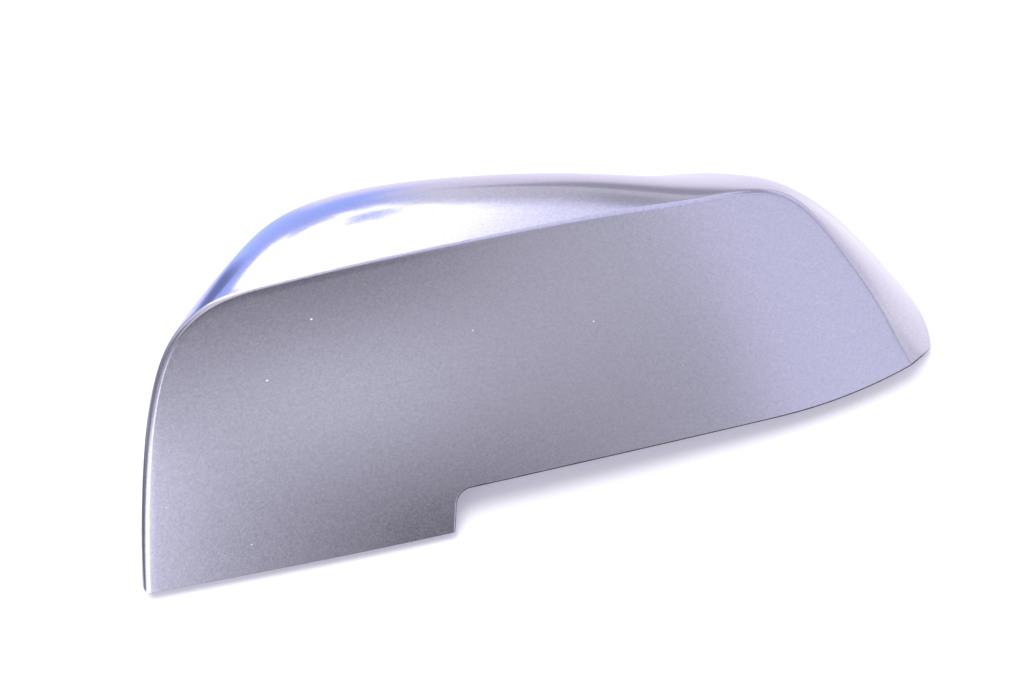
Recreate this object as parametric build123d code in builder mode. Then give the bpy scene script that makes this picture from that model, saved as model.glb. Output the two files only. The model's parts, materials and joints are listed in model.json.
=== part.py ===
from build123d import *
from math import cos, radians, sin, sqrt, tan
import os

# Wing mirror cover: one moulded shell, lying on its rim with the front face tilted up.
# Lengths are millimetres and angles degrees. On the front face, u runs from the inner
# end to the outer end, v runs up from the rim line, and depth runs in behind the face.

# Front face, bounded by the crease
face_tilt = 40.0
face_length = 232.0
face_height = 82.6
face_bow = 1.3
inner_edge_lean = 20.5
inner_edge_bow = 3.1
inner_corner_height = 76.0
inner_corner_radius = 30.0
top_edge_bow = 2.3
outer_edge_lean = 30.4
outer_edge_bow = 2.3
outer_corner_radius = 22.0
outer_tip_height = 24.0
outer_setback = 14.0
setback_power = 3
crease_radius = 2.4

# Wall behind the crease: it flares out, rolls over and then runs straight back
roll_depth = 65.0
roll_power = 4

# At shares of the way along the crease: how far the wall rolls outwards, and the slope
# at which it goes on splaying outwards
crown_growth = (
    (0.000, 0.2, 0.00),
    (0.110, 0.4, 0.00),
    (0.180, 0.6, 0.00),
    (0.225, 1.0, 0.00),
    (0.262, 4.0, 0.00),
    (0.296, 11.2, 0.00),
    (0.330, 18.0, 0.00),
    (0.375, 22.2, 0.00),
    (0.440, 23.0, 0.00),
    (0.540, 19.8, 0.00),
    (0.640, 13.2, 0.03),
    (0.720, 6.4, 0.07),
    (0.765, 3.8, 0.09),
    (0.798, 5.0, 0.09),
    (0.835, 9.4, 0.07),
    (0.880, 14.6, 0.03),
    (0.940, 19.4, 0.00),
    (1.000, 23.6, 0.00),
)

# Moulded shell
wall = 2.5
rim_chamfer = 0.6

# Cut-out in the lower edge, for the lamp and the lower housing
cutout_start = 87.5
cutout_lean = 2.8
cutout_height = 12.8
cutout_radius = 5.0
cutout_slope = 1.9
cutout_straight = 97.0
cutout_tip_height = 23.3

# Stiffening flange along the cut-out and ribs across the inside
flange_thickness = 2.0
rib_thickness = 1.6
stiffener_depth = 4.0

# Snap hooks in a row below the crease, on the inside of the face
hook_count = 4
hook_inner_margin = 44.0
hook_outer_margin = 38.0
hook_drop = 22.0
hook_width = 9.0
hook_thickness = 2.2
hook_length = 16.0
hook_barb = 1.8
hook_lead = 4.0

# Two locating pegs, each on a boss with crossed gussets
peg_inner_margin = 62.0
peg_outer_margin = 78.0
peg_height = 40.0
peg_radius = 3.0
peg_length = 20.0
peg_chamfer = 0.8
boss_radius = 4.4
boss_length = 9.0
gusset_reach = 7.5

face_plane = Plane(
    origin=(0, 0, 0),
    x_dir=(1, 0, 0),
    z_dir=(0, -sin(radians(face_tilt)), cos(radians(face_tilt))),
)
wall_sections = roll_power + 2
face_sections = setback_power + 1
skirt = face_height / 3
reach = face_length + face_height
front_depth = -2 * face_bow
crown_height = max(growth for share, growth, splay in crown_growth)
rear_depth = (face_height + crown_height) * tan(radians(face_tilt))

# The crease, drawn in the plane of the face
inner_corner = (inner_edge_lean, inner_corner_height)
outer_corner = (face_length - outer_edge_lean, face_height)
with BuildLine() as crease:
    SagittaArc((0, 0), inner_corner, inner_edge_bow)
    SagittaArc(inner_corner, outer_corner, top_edge_bow)
    SagittaArc(outer_corner, (face_length, outer_tip_height), outer_edge_bow)
    fillet(crease.vertices().sort_by_distance(inner_corner)[0], inner_corner_radius)
    fillet(crease.vertices().sort_by_distance(outer_corner)[0], outer_corner_radius)
crease_line = crease.wire()


def across_plane(u):
    return Plane(origin=(u, 0, 0), x_dir=face_plane.y_dir, z_dir=face_plane.x_dir)


def face_depth(u, v):
    upward = 2 * v / face_height - 1
    return outer_setback * (u / face_length) ** setback_power - face_bow * (1 - upward**2)


def roll_out(depth, growth, splay, inset):
    remaining = 1 - depth / roll_depth
    outward = growth * (1 - remaining**roll_power) + splay * depth
    slope = roll_power * growth / roll_depth * remaining ** (roll_power - 1) + splay
    return outward - inset * sqrt(1 + slope**2)


def wall_spline(depth, inset):
    points = []
    shares = []
    for share, growth, splay in crown_growth:
        place = crease_line.position_at(share)
        outward = crease_line.tangent_at(share).rotate(Axis.Z, 90)
        behind = depth - face_depth(place.X, place.Y)
        points.append(place + outward * roll_out(behind, growth, splay, inset))
        shares.append(share)
    points.insert(0, points[0] - crease_line.tangent_at(0) * skirt)
    points.append(points[-1] + crease_line.tangent_at(1) * skirt)
    overrun = skirt / crease_line.length
    return Edge.make_spline(points, parameters=[-overrun, *shares, 1 + overrun])


# The cover's own form, or the same form moved inwards by an inset
def cover_form(inset):
    with BuildPart() as form:
        for section in range(wall_sections):
            share = section / (wall_sections - 1)
            depth = front_depth + share * (rear_depth - front_depth)
            with BuildSketch(face_plane.offset(-depth)):
                with BuildLine():
                    side = add(wall_spline(depth, inset)).edge()
                    Line(side @ 1, side @ 0)
                make_face()
        loft()
        heights = (-skirt, face_height / 2, face_height + skirt)
        for section in range(face_sections):
            share = section / (face_sections - 1)
            u = share * (face_length + 2 * skirt) - skirt
            with BuildSketch(across_plane(u)):
                with BuildLine():
                    front = Spline([(v, -face_depth(u, v) - inset) for v in heights])
                    Polyline(front @ 1, (heights[-1], reach), (heights[0], reach), front @ 0)
                make_face()
        loft(mode=Mode.SUBTRACT)
        split(bisect_by=Plane.XY, keep=Keep.TOP)
    return form.part


outer_form = cover_form(0)
middle_form = cover_form(wall / 2)
inner_form = cover_form(wall)
stiffened_form = cover_form(wall + stiffener_depth)

# Cut-out outline in the plane of the face
with BuildSketch() as cutout:
    with BuildLine():
        corner = (cutout_start + cutout_lean, cutout_height)
        level = PolarLine(corner, cutout_straight, cutout_slope)
        rise = TangentArc(level @ 1, (face_length, cutout_tip_height), tangent=level % 1)
        tip = PolarLine(rise @ 1, skirt, direction=rise % 1)
        Polyline(
            tip @ 1,
            ((tip @ 1).X, -skirt),
            (cutout_start, -skirt),
            (cutout_start, 0),
            corner,
        )
    make_face()
    fillet(cutout.vertices().sort_by_distance(corner)[0], cutout_radius)

hook_pitch = (face_length - hook_inner_margin - hook_outer_margin) / (hook_count - 1)
hook_stations = [hook_inner_margin + hook_pitch * i for i in range(hook_count)]
rib_stations = [station + hook_pitch / 2 for station in hook_stations[:-1]]
peg_stations = [peg_inner_margin, face_length - peg_outer_margin]

with BuildPart() as stiffeners:
    with BuildSketch(face_plane):
        add(offset(cutout.sketch, amount=flange_thickness, mode=Mode.PRIVATE))
    extrude(amount=reach, both=True)
    for u in rib_stations:
        with BuildSketch(across_plane(u)):
            Rectangle(2 * reach, 2 * reach)
        extrude(amount=rib_thickness / 2, both=True)
    add(middle_form, mode=Mode.INTERSECT)
    add(stiffened_form, mode=Mode.SUBTRACT)

with BuildPart() as hooks:
    for u in hook_stations:
        v = face_height - hook_drop
        root = -face_depth(u, v) - wall / 2
        end = root - wall / 2 - hook_length
        with BuildSketch(across_plane(u)):
            with BuildLine():
                Polyline(
                    (v, root),
                    (v, end),
                    (v + hook_thickness / 2, end),
                    (v + hook_thickness + hook_barb, end + hook_lead),
                    (v + hook_thickness, end + hook_lead),
                    (v + hook_thickness, root),
                    close=True,
                )
            make_face()
        extrude(amount=hook_width / 2, both=True)

with BuildPart() as pegs:
    for u in peg_stations:
        root = face_depth(u, peg_height) + wall / 2
        with BuildSketch(face_plane.offset(-root)):
            with Locations((u, peg_height)):
                Rectangle(2 * gusset_reach, rib_thickness)
                Rectangle(rib_thickness, 2 * gusset_reach)
                Circle(boss_radius)
        extrude(amount=-boss_length)
        with BuildSketch(face_plane.offset(-root)):
            with Locations((u, peg_height)):
                Circle(peg_radius)
        extrude(amount=-peg_length - wall / 2)
    peg_tips = pegs.faces().sort_by(Axis((0, 0, 0), face_plane.z_dir))[: len(peg_stations)]
    chamfer(peg_tips.edges(), peg_chamfer)

with BuildPart() as moulding:
    add(outer_form)
    above_rim = moulding.edges().filter_by(Plane.XY, reverse=True)
    fillet(above_rim.sort_by(SortBy.LENGTH)[-1], crease_radius)
    add(inner_form, mode=Mode.SUBTRACT)
    add(stiffeners.part)
    add(hooks.part)
    add(pegs.part)
    with BuildSketch(face_plane):
        add(cutout.sketch)
    extrude(amount=reach, both=True, mode=Mode.SUBTRACT)
    outer_face, outer_wall = moulding.faces().sort_by(SortBy.AREA)[-2:]
    skin_edges = outer_face.edges() + outer_wall.edges()
    chamfer(skin_edges.filter_by_position(Axis.Z, -rim_chamfer, cutout_tip_height), rim_chamfer)

# The finished cover stands on its rim, centred over the origin
plan = moulding.part.bounding_box().center()
with BuildPart() as mirror_cover:
    with Locations((-plan.X, -plan.Y, 0)):
        add(moulding.part)

os.makedirs("parts", exist_ok=True)
mirror_cover.part.label = "mirror_cover"
export_step(mirror_cover.part, "parts/mirror_cover.step")
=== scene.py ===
import bpy
import json
import numpy as np
from math import atan2, cos, hypot, pi, radians, sin
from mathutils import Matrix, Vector

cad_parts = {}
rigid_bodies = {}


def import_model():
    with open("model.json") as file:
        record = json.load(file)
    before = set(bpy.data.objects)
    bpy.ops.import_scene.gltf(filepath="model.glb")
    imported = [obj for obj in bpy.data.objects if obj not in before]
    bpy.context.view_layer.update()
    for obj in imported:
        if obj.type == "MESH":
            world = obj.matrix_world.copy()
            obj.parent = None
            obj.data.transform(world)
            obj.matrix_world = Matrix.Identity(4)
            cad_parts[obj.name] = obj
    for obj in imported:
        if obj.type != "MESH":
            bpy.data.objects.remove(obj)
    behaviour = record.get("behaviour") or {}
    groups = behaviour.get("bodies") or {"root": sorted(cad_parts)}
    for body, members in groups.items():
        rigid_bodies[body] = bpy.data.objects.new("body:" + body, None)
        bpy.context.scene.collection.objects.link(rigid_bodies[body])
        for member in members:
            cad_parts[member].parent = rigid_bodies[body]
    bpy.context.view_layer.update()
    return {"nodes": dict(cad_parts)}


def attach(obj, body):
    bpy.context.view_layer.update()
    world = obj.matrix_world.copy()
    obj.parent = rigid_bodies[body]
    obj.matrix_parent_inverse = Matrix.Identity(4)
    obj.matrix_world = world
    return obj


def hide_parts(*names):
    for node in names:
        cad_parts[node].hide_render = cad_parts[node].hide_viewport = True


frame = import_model()
cadCover = frame["nodes"]["mirror_cover"]
bpy.context.scene.view_settings.view_transform = "Standard"
print("frame loaded")

mmPerMetre = 1000
middle = 0.5  # of a noise or a random tone, which runs from 0 to 1
black, white = (0, 0, 0, 1), (1, 1, 1, 1)


class Wire:
    # a shader socket that takes part in sums
    def __init__(self, tree, socket=None):
        self.tree = tree
        self.socket = socket

    def node(self, kind, settings=None, inputs=None, output=0):
        made = self.tree.nodes.new(kind)
        for name, value in (settings or {}).items():
            setattr(made, name, value)
        for name, value in (inputs or {}).items():
            if isinstance(value, Wire):
                self.tree.links.new(value.socket, made.inputs[name])
            else:
                made.inputs[name].default_value = value
        return Wire(self.tree, made.outputs[output])

    def output(self, kind):
        end = self.tree.nodes.new(kind)
        self.tree.links.new(self.socket, end.inputs["Surface"])

    def math(self, operation, *terms):
        return self.node("ShaderNodeMath", {"operation": operation}, dict(enumerate(terms)))

    def axes(self, names):
        # the named parts of a vector, such as "XY"
        return [self.node("ShaderNodeSeparateXYZ", {}, {"Vector": self}, name) for name in names]

    def __add__(self, other):
        return self.math("ADD", self, other)

    def __sub__(self, other):
        return self.math("SUBTRACT", self, other)

    def __mul__(self, other):
        return self.math("MULTIPLY", self, other)

    def __truediv__(self, other):
        return self.math("DIVIDE", self, other)

    def __pow__(self, other):
        return self.math("POWER", self, other)

    def __rsub__(self, other):
        return self.math("SUBTRACT", other, self)

    __radd__ = __add__
    __rmul__ = __mul__

    def ease(self, start, end):
        # 0 before start and 1 after end
        return self.node(
            "ShaderNodeMapRange",
            {"interpolation_type": "SMOOTHSTEP", "clamp": True},
            {"Value": self, "From Min": start, "From Max": end},
        )

    def fade(self, start, end):
        # 1 before start and 0 after end
        return 1 - self.ease(start, end)

    def band(self, start, full, ending, end):
        # 1 between full and ending, and 0 before start and after end
        return self.ease(start, full) * self.fade(ending, end)

    def mix(self, first, second):
        # two colours, this socket being the share of the second
        return self.node("ShaderNodeMix", {"data_type": "RGBA"}, {0: self, 6: first, 7: second}, 2)


def newMaterial(name):
    material = bpy.data.materials.new(name)
    material.use_nodes = True
    material.node_tree.nodes.clear()
    return material, Wire(material.node_tree)


# Camera, at the photograph's viewing angle
cameraSetup = {
    "location": (-0.073721, -0.316665, 0.4119),
    "turn": (38.0, 0.0, -12.48),
    "lens": 60.0,
    "sensor": 36.0,
    "clipStart": 0.01,
}
cameraData = bpy.data.cameras.new("camera")
cameraData.lens = cameraSetup["lens"]
cameraData.sensor_width = cameraSetup["sensor"]
cameraData.clip_start = cameraSetup["clipStart"]
camera = bpy.data.objects.new("camera", cameraData)
camera.location = cameraSetup["location"]
camera.rotation_euler = [radians(angle) for angle in cameraSetup["turn"]]
bpy.context.scene.collection.objects.link(camera)
bpy.context.scene.camera = camera
print("camera placed")


# The cover's outer form as smooth sheets, in millimetres as it was designed: u runs along
# the front face, v up it and depth in behind it
coverForm = {
    "tilt": 40.0,
    "length": 232.0,
    "height": 82.6,
    "bow": 1.3,
    "setback": 14.0,
    "setbackPower": 3,
    "innerCorner": (20.5, 76.0),
    "outerCorner": (201.6, 82.6),
    "outerTip": (232.0, 24.0),
    "edgeBows": (3.1, 2.3, 2.3),
    "cornerRadii": (30.0, 22.0),
    "creaseRadius": 2.4,
    "rollDepth": 65.0,
    "rollPower": 4,
    "heightPerSkirt": 3.0,  # the wall runs on past both ends of the crease by a third of the height
    "centre": (122.321, 67.465),
    # share of the crease's length, growth of the roll and splay
    "crown": (
        (0.000, 0.2, 0.00), (0.110, 0.4, 0.00), (0.180, 0.6, 0.00), (0.225, 1.0, 0.00),
        (0.262, 4.0, 0.00), (0.296, 11.2, 0.00), (0.330, 18.0, 0.00), (0.375, 22.2, 0.00),
        (0.440, 23.0, 0.00), (0.540, 19.8, 0.00), (0.640, 13.2, 0.03), (0.720, 6.4, 0.07),
        (0.765, 3.8, 0.09), (0.798, 5.0, 0.09), (0.835, 9.4, 0.07), (0.880, 14.6, 0.03),
        (0.940, 19.4, 0.00), (1.000, 23.6, 0.00),
    ),
    "columns": 520,
    "margin": 0.03,
    "creasePasses": 8,
    "tiny": 0.01,
    "faceMargin": 4.0,
    "faceRows": 40,
    "creaseRows": 24,
    "wallRows": 80,
    "wallSpacing": 1.5,
    "wallDepth": 92.0,
}


def unit(rows):
    return rows / np.linalg.norm(rows, axis=1)[:, None]


def arcThrough(start, end, bow):
    # centre and radius of the arc that bows out by that much between two points
    run = np.subtract(end, start)
    chord = hypot(*run)
    radius = (chord * chord / 4 + bow * bow) / (2 * bow)
    outward = np.array((-run[1], run[0])) / chord
    return (np.add(start, end)) / 2 + outward * (bow - radius), radius


def roundedCorner(first, second, corner, radius):
    # centre of a round that lies inside both arcs and touches them
    (centreA, radiusA), (centreB, radiusB) = first, second
    reachA, reachB = radiusA - radius, radiusB - radius
    run = centreB - centreA
    apart = hypot(*run)
    along = (apart**2 + reachA**2 - reachB**2) / (2 * apart)
    aside = (reachA**2 - along**2) ** 0.5
    base = centreA + run / apart * along
    across = np.array((-run[1], run[0])) / apart
    return min((base + across * aside, base - across * aside), key=lambda c: hypot(*(c - corner)))


def creaseLine(form):
    # places along the crease and its outward directions, for shares of its length
    corners = [(0.0, 0.0), form["innerCorner"], form["outerCorner"], form["outerTip"]]
    arcs = [
        arcThrough(corners[i], corners[i + 1], bow) for i, bow in enumerate(form["edgeBows"])
    ]
    rounds = [
        roundedCorner(arcs[i], arcs[i + 1], corners[i + 1], radius)
        for i, radius in enumerate(form["cornerRadii"])
    ]

    def touch(arc, centre):
        return arc[0] + (centre - arc[0]) / hypot(*(centre - arc[0])) * arc[1]

    stops = [
        np.array(corners[0]),
        touch(arcs[0], rounds[0]), touch(arcs[1], rounds[0]),
        touch(arcs[1], rounds[1]), touch(arcs[2], rounds[1]),
        np.array(corners[3]),
    ]
    circles = [
        arcs[0], (rounds[0], form["cornerRadii"][0]),
        arcs[1], (rounds[1], form["cornerRadii"][1]),
        arcs[2],
    ]
    turns, lengths = [], []
    for i, (centre, radius) in enumerate(circles):
        begin = atan2(*(stops[i] - centre)[::-1])
        end = atan2(*(stops[i + 1] - centre)[::-1])
        sweep = (end - begin + pi) % (2 * pi) - pi
        turns.append((begin, sweep))
        lengths.append(abs(sweep) * radius)
    total = sum(lengths)

    def at(share):
        run = share * total
        i = 0
        while i < len(lengths) - 1 and run > lengths[i]:
            run -= lengths[i]
            i += 1
        angle = turns[i][0] + turns[i][1] * run / lengths[i]
        outward = np.array((cos(angle), sin(angle)))
        return circles[i][0] + outward * circles[i][1], outward

    return at, total


def splineWeights(knots, places):
    # how much each knot counts at each place, on a natural cubic spline
    count = len(knots)
    gaps = np.diff(knots)
    bend = np.eye(count)
    load = np.zeros((count, count))
    for i in range(1, count - 1):
        bend[i, i - 1 : i + 2] = gaps[i - 1], 2 * (gaps[i - 1] + gaps[i]), gaps[i]
        load[i, i - 1 : i + 2] = 6 / gaps[i - 1], -6 / gaps[i - 1] - 6 / gaps[i], 6 / gaps[i]
    curvature = np.linalg.solve(bend, load)
    span = np.clip(np.searchsorted(knots, places) - 1, 0, count - 2)
    gap = gaps[span]
    after = (places - knots[span]) / gap
    before = 1 - after
    value = np.eye(count)
    return (
        before[:, None] * value[span]
        + after[:, None] * value[span + 1]
        + (gap**2 / 6 * (before**3 - before))[:, None] * curvature[span]
        + (gap**2 / 6 * (after**3 - after))[:, None] * curvature[span + 1]
    )


def faceDepth(form, u, v):
    # the front face falls back towards its outer end and is bowed up its height
    upward = 2 * v / form["height"] - 1
    setback = form["setback"] * (u / form["length"]) ** form["setbackPower"]
    return setback - form["bow"] * (1 - upward**2)


def smoothSheet(form):
    # rows of points: up the front face, round the crease and back along the wall
    at, total = creaseLine(form)
    shares, growth, splay = np.array(form["crown"]).T
    spots = [at(share) for share in shares]
    places = np.array([spot[0] for spot in spots])
    outward = np.array([spot[1] for spot in spots])
    along = np.stack((outward[:, 1], -outward[:, 0]), axis=1)
    front = faceDepth(form, places[:, 0], places[:, 1])
    skirt = form["height"] / form["heightPerSkirt"]
    overrun = skirt / total
    knots = np.concatenate(([-overrun], shares, [1 + overrun]))
    columns = np.linspace(-form["margin"], 1 + form["margin"], form["columns"])
    weights = splineWeights(knots, columns)

    def wallAt(depths):
        # the wall at one depth for each column
        behind = depths[:, None] - front
        rolled = 1 - (1 - behind / form["rollDepth"]) ** form["rollPower"]
        outs = growth * rolled + splay * behind
        points = places + outward * outs[:, :, None]
        first = points[:, :1] - along[0] * skirt
        last = points[:, -1:] + along[-1] * skirt
        points = np.concatenate((first, points, last), axis=1)
        return np.column_stack((np.einsum("ck,ckx->cx", weights, points), depths))

    crease = np.zeros(form["columns"])
    for _ in range(form["creasePasses"]):
        u, v, _ = wallAt(crease).T
        crease = faceDepth(form, u, v)

    # directions at the sharp crease: along it, in on the face and straight in behind it
    corner = wallAt(crease)
    u, v, _ = corner.T
    tiny = form["tiny"]
    run = unit(np.gradient(corner, axis=0))
    slopeU = (faceDepth(form, u + tiny, v) - faceDepth(form, u - tiny, v)) / (2 * tiny)
    slopeV = (faceDepth(form, u, v + tiny) - faceDepth(form, u, v - tiny)) / (2 * tiny)
    behind = unit(np.column_stack((-slopeU, -slopeV, np.ones_like(u))))
    inward = unit(np.cross(run, behind))

    # a ball that touches the face and the curved wall: the wall is taken as straight where
    # the ball touches it, and that place is found again
    radius = form["creaseRadius"]
    touch = crease + radius
    for _ in range(form["creasePasses"]):
        place = wallAt(touch) - corner
        slope = (wallAt(touch + tiny) - wallAt(touch)) / tiny
        across, deep = (place * inward).sum(1), (place * behind).sum(1)
        slopeAcross, slopeDeep = (slope * inward).sum(1), (slope * behind).sum(1)
        steep = np.hypot(slopeAcross, slopeDeep)
        reach = radius / np.tan(np.arccos(slopeAcross / steep) / 2)
        start = across - deep * slopeAcross / slopeDeep
        touch = touch + (reach * slopeDeep / steep - deep) / slopeDeep
    hub = corner + inward * (start + reach)[:, None] + behind * radius
    fromFace = -behind * radius
    alongWall = inward * slopeAcross[:, None] + behind * slopeDeep[:, None]
    fromWall = alongWall * (reach / steep)[:, None]
    fromWall += inward * start[:, None] + corner - hub
    opening = np.arccos((fromFace * fromWall).sum(1) / radius**2)[:, None]
    rounded = []
    for share in np.linspace(0, 1, form["creaseRows"]):
        turned = fromFace * np.sin((1 - share) * opening) + fromWall * np.sin(share * opening)
        rounded.append(hub + turned / np.sin(opening))

    # the face from below its lower edge to the round, and the wall from the round to the rear
    margin = form["faceMargin"]
    lowU = np.linspace(-margin, form["length"] + margin, form["columns"])
    low = np.column_stack((lowU, np.full_like(lowU, -margin)))
    face = []
    for share in np.linspace(0, 1, form["faceRows"], endpoint=False):
        u, v = (low + (rounded[0][:, :2] - low) * share).T
        face.append(np.column_stack((u, v, faceDepth(form, u, v))))
    start = rounded[-1][:, 2]
    wall = []
    for share in np.linspace(0, 1, form["wallRows"])[1:]:
        wall.append(wallAt(start + (form["wallDepth"] - start) * share ** form["wallSpacing"]))
    return face + rounded + wall


def sheetMesh(form, rows):
    # the sheet as a mesh, set up on the tilted face and in metres
    lean = radians(form["tilt"])
    u, v, depth = np.concatenate(rows).T
    points = np.column_stack((
        u - form["centre"][0],
        v * cos(lean) + depth * sin(lean) - form["centre"][1],
        v * sin(lean) - depth * cos(lean),
    )) / mmPerMetre
    wide = len(rows[0])
    first = np.arange(len(points) - wide).reshape(-1, wide)[:, :-1].ravel()
    faces = np.column_stack((first, first + 1, first + wide + 1, first + wide))
    mesh = bpy.data.meshes.new("smooth_form")
    mesh.from_pydata(points.tolist(), [], faces.tolist())
    mesh.shade_smooth()
    return mesh


smoothForm = bpy.data.objects.new("smooth_form", sheetMesh(coverForm, smoothSheet(coverForm)))
bpy.context.scene.collection.objects.link(smoothForm)
print("smooth form drawn", len(smoothForm.data.polygons))

# Paint outside: fine silver flakes under a clear coat, with a little dust on it
paintFinish = {
    "light": (0.565, 0.553, 0.634, 1.0),
    "dark": (0.455, 0.447, 0.516, 1.0),
    "flakesPerMetre": 2700.0,
    "flakeContrast": 0.6,
    "cloudsPerMetre": 900.0,
    "cloudDetail": 2.0,
    "cloudContrast": 0.8,
    "darken": 0.2,
    "roughness": 0.18,
    "roughnessSpread": 0.06,
    "flakeTilt": 0.05,
    "flakeHeight": 0.0001,
    "coat": 1.0,
    "coatRoughness": 0.03,
    "coatIor": 1.5,
    "dust": (0.80, 0.80, 0.82, 1.0),
    "dustPerMetre": 110.0,
    "dustSize": 0.00045,
    "dustDull": 0.8,
    "dustRoughness": 0.5,
    "grit": (0.10, 0.10, 0.11, 1.0),
    "gritPerMetre": 90.0,
    "gritSize": 0.0004,
    "gritDull": 0.8,
    "gritRoughness": 0.4,
    "speckCore": 0.6,
    "speckStretch": (0.7, 1.3, 1.0),
}


def paintMaterial(finish):
    material, wire = newMaterial("silver_paint")
    spot = wire.node("ShaderNodeTexCoord", output="Object")
    flake = wire.node(
        "ShaderNodeTexVoronoi", {}, {"Vector": spot, "Scale": finish["flakesPerMetre"]}, "Color"
    )
    pick = wire.node("ShaderNodeSeparateColor", {}, {"Color": flake}, "Red")
    turn = wire.node("ShaderNodeSeparateColor", {}, {"Color": flake}, "Green")
    cloud = wire.node(
        "ShaderNodeTexNoise",
        {},
        {"Vector": spot, "Scale": finish["cloudsPerMetre"], "Detail": finish["cloudDetail"]},
    )
    drawn = wire.node(
        "ShaderNodeVectorMath", {"operation": "MULTIPLY"}, {0: spot, 1: finish["speckStretch"]}
    )

    def specks(perMetre, size):
        # specks of uneven size where the surface passes close to scattered points
        inputs = {"Vector": drawn, "Scale": perMetre}
        near = wire.node("ShaderNodeTexVoronoi", {}, inputs, "Distance")
        tone = wire.node("ShaderNodeTexVoronoi", {}, inputs, "Color")
        reach = wire.node("ShaderNodeSeparateColor", {}, {"Color": tone}, "Blue") * size * perMetre
        return near.fade(reach * finish["speckCore"], reach)

    dust = specks(finish["dustPerMetre"], finish["dustSize"])
    grit = specks(finish["gritPerMetre"], finish["gritSize"])
    shade = pick * finish["flakeContrast"] + cloud * finish["cloudContrast"] - finish["darken"]
    colour = shade.mix(finish["dark"], finish["light"])
    colour = grit.mix(dust.mix(colour, finish["dust"]), finish["grit"])
    rough = finish["roughness"] + (turn - middle) * finish["roughnessSpread"]
    rough = rough + dust * finish["dustRoughness"] + grit * finish["gritRoughness"]
    tilt = wire.node(
        "ShaderNodeBump",
        {},
        {"Strength": finish["flakeTilt"], "Distance": finish["flakeHeight"], "Height": turn},
    )
    shader = wire.node(
        "ShaderNodeBsdfPrincipled",
        {},
        {
            "Base Color": colour,
            "Metallic": 1 - dust * finish["dustDull"] - grit * finish["gritDull"],
            "Roughness": rough,
            "Normal": tilt,
            "Coat Weight": finish["coat"],
            "Coat Roughness": finish["coatRoughness"],
            "Coat IOR": finish["coatIor"],
        },
    )
    shader.output("ShaderNodeOutputMaterial")
    return material


# Bare moulding inside: dark plastic with faint flow marks and a fine spark-eroded grain, and
# a mist of paint that reaches in past the rim and the edge of the cut-out
plasticFinish = {
    "dark": (0.020, 0.020, 0.022, 1.0),
    "pale": (0.046, 0.046, 0.050, 1.0),
    "flowMarks": (14.0, 70.0, 70.0),
    "flowDetail": 4.0,
    "grainPerMetre": 1900.0,
    "grainDetail": 2.0,
    "grainBump": 0.3,
    "grainHeight": 0.0001,
    "roughness": 0.52,
    "roughnessSpread": 0.22,
    "mist": (0.42, 0.415, 0.47, 1.0),
    "mistReach": 0.011,
    "mistCover": 0.8,
    "mistRoughness": -0.14,
    "mistMetallic": 0.8,
    "specksPerMetre": 1300.0,
    "speckCover": (0.78, 1.02),
    "cutStart": (0.084, 0.087),
    "cutCorner": 0.0903,
    "cutHeight": 0.0128,
    "cutSlope": 0.0332,
    "cutCurveFrom": 0.187,
    "cutCurve": 3.6,
}


def plasticMaterial(finish, form):
    material, wire = newMaterial("bare_plastic")
    spot = wire.node("ShaderNodeTexCoord", output="Object")
    x, y, z = spot.axes("XYZ")

    # how far a place is from the rim and, up the face, from the edge of the cut-out
    lean = radians(form["tilt"])
    along = x + form["centre"][0] / mmPerMetre
    upFace = (y + form["centre"][1] / mmPerMetre) * cos(lean) + z * sin(lean)
    rise = wire.math("MAXIMUM", along - finish["cutCurveFrom"], 0) ** 2.0 * finish["cutCurve"]
    cutEdge = (along - finish["cutCorner"]) * finish["cutSlope"] + finish["cutHeight"] + rise
    fromCut = wire.math("MAXIMUM", upFace - cutEdge, 0) + along.fade(*finish["cutStart"])
    mist = wire.math("MINIMUM", fromCut, z).fade(0, finish["mistReach"])

    stretched = wire.node(
        "ShaderNodeVectorMath", {"operation": "MULTIPLY"}, {0: spot, 1: finish["flowMarks"]}
    )
    flow = wire.node(
        "ShaderNodeTexNoise",
        {},
        {"Vector": stretched, "Scale": 1.0, "Detail": finish["flowDetail"]},
    )
    grain = wire.node(
        "ShaderNodeTexNoise",
        {},
        {"Vector": spot, "Scale": finish["grainPerMetre"], "Detail": finish["grainDetail"]},
    )
    speck = wire.node("ShaderNodeTexNoise", {}, {"Vector": spot, "Scale": finish["specksPerMetre"]})
    cover = (speck + mist * finish["mistCover"]).ease(*finish["speckCover"])
    colour = cover.mix(flow.mix(finish["dark"], finish["pale"]), finish["mist"])
    rough = (flow - middle) * finish["roughnessSpread"] + finish["roughness"]
    bump = wire.node(
        "ShaderNodeBump",
        {},
        {"Strength": finish["grainBump"], "Distance": finish["grainHeight"], "Height": grain},
    )
    shader = wire.node(
        "ShaderNodeBsdfPrincipled",
        {},
        {
            "Base Color": colour,
            "Metallic": cover * finish["mistMetallic"],
            "Roughness": rough + cover * finish["mistRoughness"],
            "Normal": bump,
        },
    )
    shader.output("ShaderNodeOutputMaterial")
    return material


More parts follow.
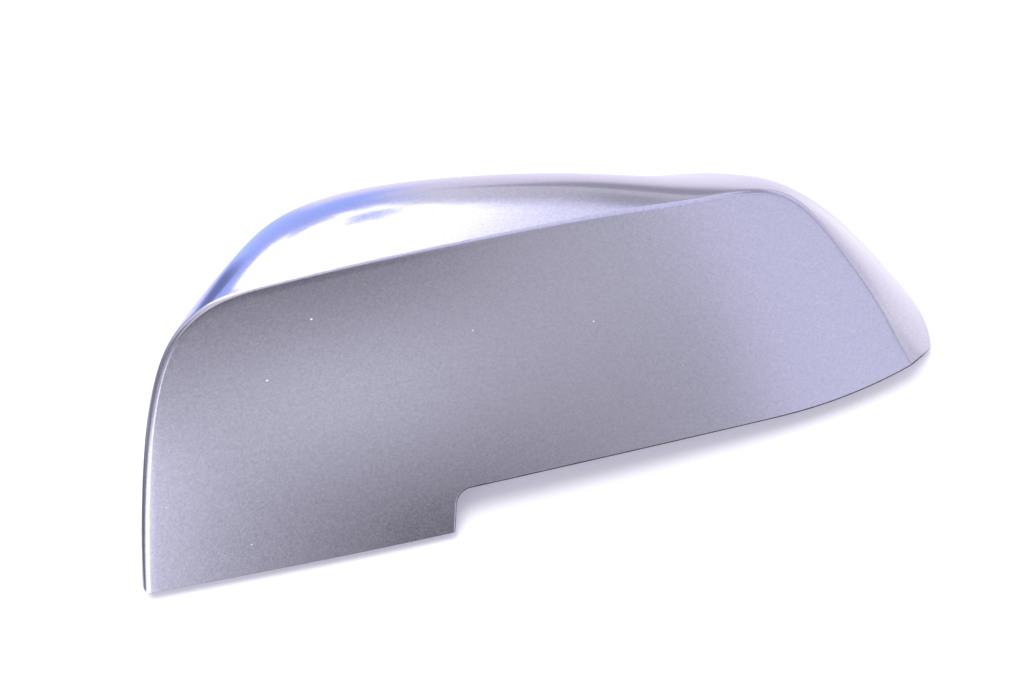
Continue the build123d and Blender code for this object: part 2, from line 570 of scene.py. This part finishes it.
# The cover: a merged copy of the CAD mesh. Its outer skin is painted, made finer and pressed
# onto the smooth form. Lengths are in metres.
shellSetup = {
    "mergeWithin": 1e-6,
    "longestEdge": 0.003,
    "splits": 5,
    "smoothAngle": 30.0,
}
smoothAngle = radians(shellSetup["smoothAngle"])
bpy.ops.object.select_all(action="DESELECT")
shell = cadCover.copy()
shell.data = cadCover.data.copy()
shell.name = "painted_cover"
shell.data.name = "painted_cover"
shell.parent = None
for key in list(shell.keys()):  # the copy drops the tags of the CAD node
    del shell[key]
bpy.context.scene.collection.objects.link(shell)
bpy.context.view_layer.objects.active = shell
shell.select_set(True)
shell.data.materials.clear()
shell.data.materials.append(plasticMaterial(plasticFinish, coverForm))
shell.data.materials.append(paintMaterial(paintFinish))
bpy.ops.mesh.customdata_custom_splitnormals_clear()
bpy.ops.object.mode_set(mode="EDIT")
bpy.ops.mesh.select_all(action="SELECT")
bpy.ops.mesh.remove_doubles(threshold=shellSetup["mergeWithin"])
bpy.ops.mesh.select_all(action="DESELECT")
bpy.ops.object.mode_set(mode="OBJECT")
faceLean = radians(coverForm["tilt"])
facing = Vector((0, -sin(faceLean), cos(faceLean)))  # straight out of the front face
frontmost = max(shell.data.polygons, key=lambda face: face.center.dot(facing))
frontmost.select = True
bpy.ops.object.mode_set(mode="EDIT")
bpy.ops.mesh.select_mode(type="FACE")
bpy.ops.mesh.faces_select_linked_flat(sharpness=smoothAngle)  # on to the sharp edges of the skin
shell.vertex_groups.new(name="skin")
bpy.ops.object.vertex_group_assign()
bpy.ops.mesh.select_more()  # the paint also covers the edges that bound the skin
shell.active_material_index = 1  # the paint
bpy.ops.object.material_slot_assign()
bpy.ops.mesh.select_mode(type="EDGE")
bpy.ops.object.mode_set(mode="OBJECT")
for _ in range(shellSetup["splits"]):  # long edges of the skin are halved until it is fine
    mesh = shell.data
    onSkin = [bool(vertex.groups) for vertex in mesh.vertices]
    mesh.vertices.foreach_set("select", [False] * len(mesh.vertices))
    mesh.polygons.foreach_set("select", [False] * len(mesh.polygons))
    for edge in mesh.edges:
        first, second = edge.vertices
        length = (mesh.vertices[first].co - mesh.vertices[second].co).length
        edge.select = onSkin[first] and onSkin[second] and length > shellSetup["longestEdge"]
    bpy.ops.object.mode_set(mode="EDIT")
    bpy.ops.mesh.subdivide(number_cuts=1)
    bpy.ops.object.mode_set(mode="OBJECT")
bpy.ops.object.mode_set(mode="EDIT")  # cut into triangles while it is flat, so none folds over
bpy.ops.mesh.select_all(action="SELECT")
bpy.ops.mesh.quads_convert_to_tris(quad_method="BEAUTY", ngon_method="BEAUTY")
bpy.ops.object.mode_set(mode="OBJECT")
print("skin picked out", len(shell.data.polygons))

wrap = shell.modifiers.new("wrap", "SHRINKWRAP")
wrap.target = smoothForm
wrap.wrap_method = "NEAREST_SURFACEPOINT"
wrap.vertex_group = "skin"
bpy.ops.object.modifier_apply(modifier="wrap")
bpy.ops.object.shade_smooth_by_angle(angle=smoothAngle)
normals = shell.modifiers.new("normals", "DATA_TRANSFER")
normals.object = smoothForm
normals.use_loop_data = True
normals.data_types_loops = {"CUSTOM_NORMAL"}
normals.loop_mapping = "POLYINTERP_NEAREST"
normals.vertex_group = "skin"
bpy.ops.object.modifier_apply(modifier="normals")
bpy.data.objects.remove(smoothForm)
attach(shell, "root")
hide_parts("mirror_cover")
print("cover made", len(shell.data.polygons))


# Floor: a pale table. To mirrored rays it glows with a painted reflection in place of the paper:
# sky and dusk behind at the left, a painted lit stretch at the right, and painted shade in dark
# strips at the left, behind at the right and along the front.
floorSetup = {
    "size": 1.4,
    "drop": 0.0025,
    "paper": (0.62, 0.612, 0.575, 1.0),
    "lift": (0.27, 0.258, 0.335, 1.0),
    # colours of the painted reflection that mirrored rays see on the table: painted light and
    # painted shade
    "mirrored": (0.90, 0.85, 1.05, 1.0),
    "lit": (1.22, 1.17, 1.31, 1.0),
    "litFromX": (0.11, 0.14),
    "litToY": (0.04, 0.09),
    "far": (0.40, 0.385, 0.48, 1.0),
    "farFromX": (0.04, 0.10),
    "farFromY": (0.10, 0.22),
    "sky": (0.51, 0.64, 1.38, 1.0),
    "nearSkyToX": (-0.075, -0.05),
    "nearSkyFromY": (0.040, 0.064),
    "farSkyToX": (-0.035, 0.005),
    "farSkyFromY": (0.10, 0.19),
    "dusk": (0.20, 0.235, 0.51, 1.0),
    "duskLean": 0.35,
    "duskTo": (-0.078, -0.0655),
    "duskY": (0.05, 0.075, 0.22, 0.26),
    "edge": (0.24, 0.24, 0.29, 1.0),
    "edgeToX": (-0.145, -0.125),
    "edgeToY": (0.0, 0.03),
    # a painted shadow along the front, where the rim stands near the table
    "front": (0.10, 0.10, 0.12, 1.0),
    "frontLean": 0.15,
    "frontToY": (-0.056, -0.048),
}
bpy.ops.object.select_all(action="DESELECT")
bpy.ops.mesh.primitive_plane_add(size=floorSetup["size"], location=(0, 0, -floorSetup["drop"]))
floor = bpy.context.active_object
floor.name = "floor"


def floorMaterial(setup):
    material, wire = newMaterial("pale_table")
    spot = wire.node("ShaderNodeTexCoord", output="Object")
    x, y = spot.axes("XY")
    seen = wire.node("ShaderNodeLightPath", output="Is Camera Ray")
    mirrored = wire.node("ShaderNodeLightPath", output="Is Glossy Ray")
    # the painted reflection: patches of painted light, sky and painted shade laid out over the
    # table
    lit = x.ease(*setup["litFromX"]) * y.fade(*setup["litToY"])
    far = x.ease(*setup["farFromX"]) * y.ease(*setup["farFromY"])
    nearSky = x.fade(*setup["nearSkyToX"]) * y.ease(*setup["nearSkyFromY"])
    farSky = x.fade(*setup["farSkyToX"]) * y.ease(*setup["farSkyFromY"])
    dusk = (x + y * setup["duskLean"]).fade(*setup["duskTo"]) * y.band(*setup["duskY"])
    edge = x.fade(*setup["edgeToX"]) * y.fade(*setup["edgeToY"])
    colour = lit.mix(setup["mirrored"], setup["lit"])
    colour = far.mix(colour, setup["far"])
    colour = wire.math("MAXIMUM", nearSky, farSky).mix(colour, setup["sky"])
    colour = dusk.mix(colour, setup["dusk"])
    colour = edge.mix(colour, setup["edge"])
    # painted shadow along the front of the mirrored table, under the rim
    colour = (y - x * setup["frontLean"]).fade(*setup["frontToY"]).mix(colour, setup["front"])
    mirror = wire.node("ShaderNodeEmission", {}, {"Color": colour})
    lift = wire.node("ShaderNodeEmission", {}, {"Color": seen.mix(black, setup["lift"])})
    paper = wire.node("ShaderNodeBsdfDiffuse", {}, {"Color": setup["paper"]})
    table = wire.node("ShaderNodeAddShader", {}, {0: paper, 1: lift})
    # mirrored rays see only the glowing painted reflection, and other rays see the lit paper
    wire.node("ShaderNodeMixShader", {}, {0: mirrored, 1: table, 2: mirror}).output(
        "ShaderNodeOutputMaterial"
    )
    return material


floor.data.materials.append(floorMaterial(floorSetup))
print("floor laid")

# A soft lamp overhead that throws the shadow on the table; the paint doesn't mirror it
lampSetup = {
    "strength": 2.2,
    "spread": 40.0,
    "turn": (-3.0, -14.0, 0.0),
}
lampData = bpy.data.lights.new("lamp", "SUN")
lampData.energy = lampSetup["strength"]
lampData.angle = radians(lampSetup["spread"])
lamp = bpy.data.objects.new("lamp", lampData)
lamp.rotation_euler = [radians(angle) for angle in lampSetup["turn"]]
lamp.visible_glossy = False
bpy.context.scene.collection.objects.link(lamp)
print("lamp hung")


# Room light by direction, in degrees: up from the horizon, and round towards the right from
# the front or from the back. A pair is where a change starts and ends, and a four holds the
# coming and the going of a light. At and Spread are the middle and half width of a patch.
roomSetup = {
    "tint": (1.0, 0.985, 1.09, 1.0),
    "low": 0.608,
    "high": 0.133,
    "highUp": (38, 50),
    "highFront": (-9, 3),
    "smudge": 0.49,
    "smudgeAt": (7.4, 32.1),
    "smudgeSpread": (12.7, 9.2),
    "darkSpot": 0.55,
    "darkSpotAt": (8.7, 33.4),
    "darkSpotSpread": (4.3, 4.0),
    "darkSpotEdge": (0.33, 0.41),
    "glow": (0.272, 0.297, 0.322, 1.0),
    "glowAt": (4.5, 46.5),
    "glowSpread": (8.5, 5.0),
    "side": (1.0, 1.0, 1.25, 1.0),
    "sideFront": (31.5, 39.5, 62, 80),
    "sideUp": (2, 12),
    "sideLean": 0.35,
    "sideLeanFrom": 37,
    "dim": 0.64,
    "dimUp": (48, 60),
    "dimFront": (-75, -50, 75, 100),
    "dimRight": 0.75,
    "dimRightFront": (12, 28),
    "panel": (2.06, 2.08, 2.36, 1.0),
    "panelUp": (3, 11, 54, 62),
    "panelFront": (-86, -74, -15, -2.5),
    "panelSlant": 40,
    "panelSlantUp": (24, 52),
    "panelStep": 12,
    "panelStepUp": (44, 50),
    "behind": (95, 125),
    "wallByWindow": (1.0, 0.985, 1.12, 1.0),
    "wallMiddle": (0.78, 0.768, 0.874, 1.0),
    "wallMiddleBack": (8, 15),
    "wallRight": (1.03, 1.015, 1.155, 1.0),
    "wallRightBack": (20, 28),
    "wallHigh": (1.02, 1.02, 1.12, 1.0),
    "wallHighUp": (13, 25),
    "wallBlue": (1.04, 1.04, 1.36, 1.0),
    "wallBlueBack": (2, 14),
    "beam": 0.5,
    "beamBack": (15.5, 19, 62, 100),
    "beamUp": 12,
    "beamRise": 38,
    "beamRiseBack": (15, 60),
    "beamHalf": (-13, -4, 5, 13),
    "corner": 0.25,
    "cornerBack": (72, 95, 120, 129),
    "cornerUp": (10, 22, 50, 58),
    "leftDark": 0.62,
    "leftDarkBack": (-112, -96, -60, -42),
    "leftDarkUp": (54, 64),
    "cloudScale": 12.0,
    "cloudDetail": 3.0,
    "cloudRise": 26.0,
    "sill": -1.5,
    "sillLeft": 12.5,
    "sillLeftBack": (-18, -8),
    "sillRight": 13.0,
    "sillRightBack": (4, 10),
    "window": (2.3, 2.3, 2.35, 1.0),
    "windowSoft": (-2, 2),
    "windowUp": (57, 68),
    "windowBack": (-24, -19.5, 9, 18),
    "sky": (0.51, 0.64, 1.38, 1.0),
    "skySoft": (-3, 2),
    "skyBack": (-60, -45, 1, 9),
    "blotAt": (2.0, 22.0),
    "blotSpread": (4.0, 6.5),
    "blotRagged": 1.6,
    "blotSoft": (0.35, 0.65),
}
room = bpy.data.worlds.new("room")
bpy.context.scene.world = room
room.use_nodes = True
room.node_tree.nodes.clear()


def roomLight(tree, setup):
    wire = Wire(tree)
    ray = wire.node("ShaderNodeTexCoord", output="Generated")
    x, y, z = ray.axes("XYZ")
    up = wire.math("DEGREES", wire.math("ARCSINE", z))
    back = wire.math("DEGREES", wire.math("ARCTAN2", x, y))
    front = wire.math("DEGREES", wire.math("ARCTAN2", x, 0 - y))

    def patch(across, place, spread):
        # a soft round patch of light, 1 in its middle
        away = ((across - place[0]) / spread[0]) ** 2.0 + ((up - place[1]) / spread[1]) ** 2.0
        return wire.math("EXPONENT", 0 - away)

    # in front: a soft glow over a dark smudge with a darker spot in it, a bluish side, a dim
    # ceiling and a bright panel
    level = up.ease(*setup["highUp"]) * front.ease(*setup["highFront"]) * setup["high"]
    level = level + setup["low"]
    smudge = patch(front, setup["smudgeAt"], setup["smudgeSpread"]) * setup["smudge"]
    darkSpot = patch(front, setup["darkSpotAt"], setup["darkSpotSpread"])
    darkSpot = darkSpot.ease(*setup["darkSpotEdge"]) * setup["darkSpot"]
    colour = (level * (1 - smudge) * (1 - darkSpot)).mix(black, setup["tint"])
    glow = patch(front, setup["glowAt"], setup["glowSpread"]).mix(black, setup["glow"])
    colour = wire.node("ShaderNodeVectorMath", {"operation": "ADD"}, {0: colour, 1: glow})
    leaning = front - (up - setup["sideLeanFrom"]) * setup["sideLean"]
    sideStart, sideEnd = setup["sideFront"][:2], setup["sideFront"][2:]
    side = leaning.ease(*sideStart) * front.fade(*sideEnd) * up.ease(*setup["sideUp"])
    colour = side.mix(colour, setup["side"])
    dim = up.ease(*setup["dimUp"]) * front.band(*setup["dimFront"]) * setup["dim"]
    dim = dim * (1 - front.ease(*setup["dimRightFront"]) * setup["dimRight"])
    colour = dim.mix(colour, black)
    slanted = front - up.ease(*setup["panelSlantUp"]) * setup["panelSlant"]
    stepped = front + up.ease(*setup["panelStepUp"]) * setup["panelStep"]
    panelStart, panelEnd = setup["panelFront"][:2], setup["panelFront"][2:]
    panel = up.band(*setup["panelUp"]) * slanted.ease(*panelStart) * stepped.fade(*panelEnd)
    colour = panel.mix(colour, setup["panel"])

    # behind: a wall, paler by the window and at the right, bluish above
    high = up.ease(*setup["wallHighUp"])
    wall = back.ease(*setup["wallMiddleBack"]).mix(setup["wallByWindow"], setup["wallMiddle"])
    wall = back.ease(*setup["wallRightBack"]).mix(wall, setup["wallRight"])
    wall = high.mix(wall, setup["wallHigh"])
    wall = (high * back.ease(*setup["wallBlueBack"])).mix(wall, setup["wallBlue"])
    colour = wire.math("ABSOLUTE", back).fade(*setup["behind"]).mix(colour, wall)

    # a dark beam that rises to the right, a darker corner and a dark left
    overBeam = up - back.ease(*setup["beamRiseBack"]) * setup["beamRise"] - setup["beamUp"]
    beam = overBeam.band(*setup["beamHalf"]) * back.band(*setup["beamBack"]) * setup["beam"]
    corner = back.band(*setup["cornerBack"]) * up.band(*setup["cornerUp"]) * setup["corner"]
    left = back.band(*setup["leftDarkBack"]) * up.fade(*setup["leftDarkUp"]) * setup["leftDark"]
    for shade in (beam, corner, left):
        colour = shade.mix(colour, black)

    # a window with a ragged line of cloud over blue sky
    cloud = wire.node(
        "ShaderNodeTexNoise",
        {},
        {"Vector": ray, "Scale": setup["cloudScale"], "Detail": setup["cloudDetail"]},
    )
    ragged = cloud - middle
    sill = back.ease(*setup["sillLeftBack"]) * setup["sillLeft"] + setup["sill"]
    sill = sill + back.ease(*setup["sillRightBack"]) * setup["sillRight"]
    above = up - sill - ragged * setup["cloudRise"]
    window = above.ease(*setup["windowSoft"]) * up.fade(*setup["windowUp"])
    colour = (window * back.band(*setup["windowBack"])).mix(colour, setup["window"])
    sky = above.fade(*setup["skySoft"]) * back.band(*setup["skyBack"])
    blot = patch(back, setup["blotAt"], setup["blotSpread"]) + ragged * setup["blotRagged"]
    sky = wire.math("MAXIMUM", sky, blot.ease(*setup["blotSoft"]))
    colour = sky.mix(colour, setup["sky"])
    seen = wire.node("ShaderNodeLightPath", output="Is Camera Ray")
    wire.node("ShaderNodeBackground", {}, {"Color": seen.mix(colour, white)}).output(
        "ShaderNodeOutputWorld"
    )


roomLight(room.node_tree, roomSetup)
print("room lit")
